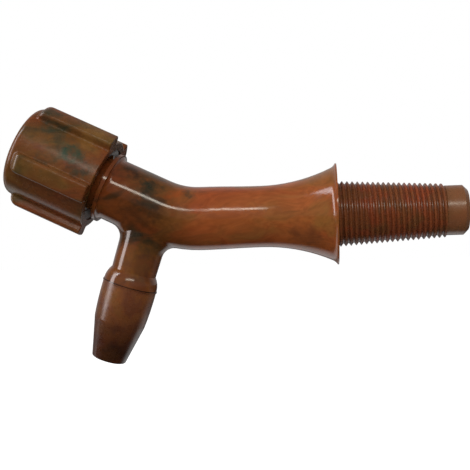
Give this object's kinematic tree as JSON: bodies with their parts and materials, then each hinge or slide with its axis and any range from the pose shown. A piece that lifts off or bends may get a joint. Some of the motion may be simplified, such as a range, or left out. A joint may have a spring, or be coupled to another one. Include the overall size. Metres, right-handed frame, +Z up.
{
  "type": "beverage dispenser spigot",
  "caption": "Screw-down drinks spigot in mottled phenolic: taper-threaded shank, trumpet flange, angled ribbed knob that lifts a washer off its seat, and a tapered spout.",
  "frame": {"origin": "centre of the flange's seating face, on the shank's axis", "axes": "+X through the shank into the vessel, +Z up, with the knob rising towards -X and the spout hanging down"},
  "size_m": [0.1648, 0.0393, 0.0937],
  "materials": {
    "body_phenolic": "moulded phenolic, glossy, orange-brown mottled with darker brown streaks",
    "knob_phenolic": "moulded phenolic, glossy, dark brown mottled with red and olive",
    "plunger_phenolic": "moulded phenolic, plain dark brown",
    "brass": "turned and stamped, dull",
    "rubber": "moulded, matt black"
  },
  "bodies": {
    "tap_body": {"tap_body": "body_phenolic"},
    "plunger": {"plunger": "plunger_phenolic", "valve_washer": "rubber", "washer_screw": "brass", "seal_ring_lower": "rubber", "seal_ring_upper": "rubber"},
    "knob": {"knob": "knob_phenolic", "plunger_retainer": "brass"}
  },
  "joints": [
    {"name": "plunger_lift", "type": "slide", "parent": "tap_body", "child": "plunger", "axis": [-0.8981, 0, 0.4398], "range_m": [0, 0.00375]},
    {"name": "knob_turn", "type": "hinge", "parent": "plunger", "child": "knob", "pos_m": [-0.09302, 0, 0.01759], "axis": [-0.8981, 0, 0.4398], "range_deg": [0, 450]}
  ],
  "couplings": [
    {"joint": "plunger_lift", "follows": "knob_turn", "m_per_rad": 0.00047746}
  ]
}
